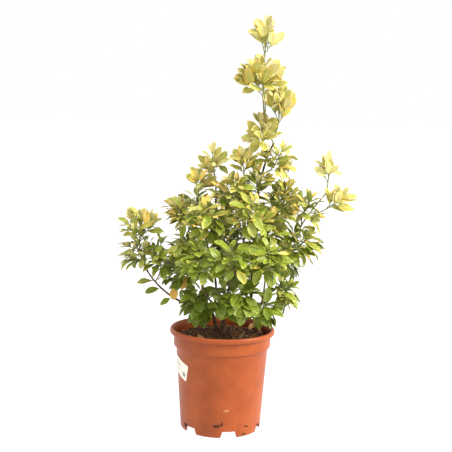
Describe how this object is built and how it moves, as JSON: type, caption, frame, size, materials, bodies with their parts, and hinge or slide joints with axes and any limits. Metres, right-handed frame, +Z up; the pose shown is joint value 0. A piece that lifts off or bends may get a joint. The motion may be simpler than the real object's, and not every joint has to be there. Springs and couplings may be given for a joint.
{
  "type": "potted euonymus shrub",
  "caption": "Young variegated evergreen euonymus shrub with a tall leading shoot, in a terracotta-coloured plastic nursery pot of compost.",
  "frame": {"origin": "middle of the pot's flat underside, on the surface that the pot stands on", "axes": "+Z up the pot's axis, +X to the right of the side that the label is seen from on the left, +Y away from that side"},
  "size_m": [0.4224, 0.2857, 0.7276],
  "materials": {
    "pot_plastic": "satin",
    "compost": "matte",
    "label_paper": "matte",
    "bark": "matte",
    "leaf": "satin"
  },
  "bodies": {
    "root": {"pot": "pot_plastic", "compost": "compost", "label": "label_paper", "stem_middle": "bark", "stem_left": "bark", "stem_right": "bark", "bough_peak": "bark", "bough_middle_right": "bark", "bough_inner": "bark", "bough_left": "bark", "bough_far_left": "bark", "bough_front": "bark", "bough_front_left": "bark", "bough_front_right": "bark", "leader": "bark", "leader_tip": "bark", "bough_right": "bark", "bough_right_spray": "bark", "bough_back": "bark", "bough_back_left": "bark", "bough_back_right": "bark", "spire_top": "leaf", "spire_middle": "leaf", "spire_right": "leaf", "spire_lower": "leaf", "spire_foot": "leaf", "small_shoot": "leaf", "leader_inner": "leaf", "peak": "leaf", "shoulder": "leaf", "top_centre": "leaf", "left_group": "leaf", "far_left_top": "leaf", "far_left_middle": "leaf", "far_left_inner": "leaf", "left_low": "leaf", "left_middle": "leaf", "front_left": "leaf", "front_centre": "leaf", "front_right": "leaf", "front_left_high": "leaf", "front_right_high": "leaf", "low_front": "leaf", "low_left": "leaf", "low_right": "leaf", "right_low": "leaf", "right_middle": "leaf", "right_upper": "leaf", "right_top": "leaf", "spray_upper": "leaf", "spray_lower": "leaf", "centre": "leaf", "centre_right": "leaf", "back_left_low": "leaf", "back_left_high": "leaf", "back_centre_low": "leaf", "back_centre_high": "leaf", "back_right_low": "leaf", "back_right_high": "leaf"}
  },
  "joints": []
}
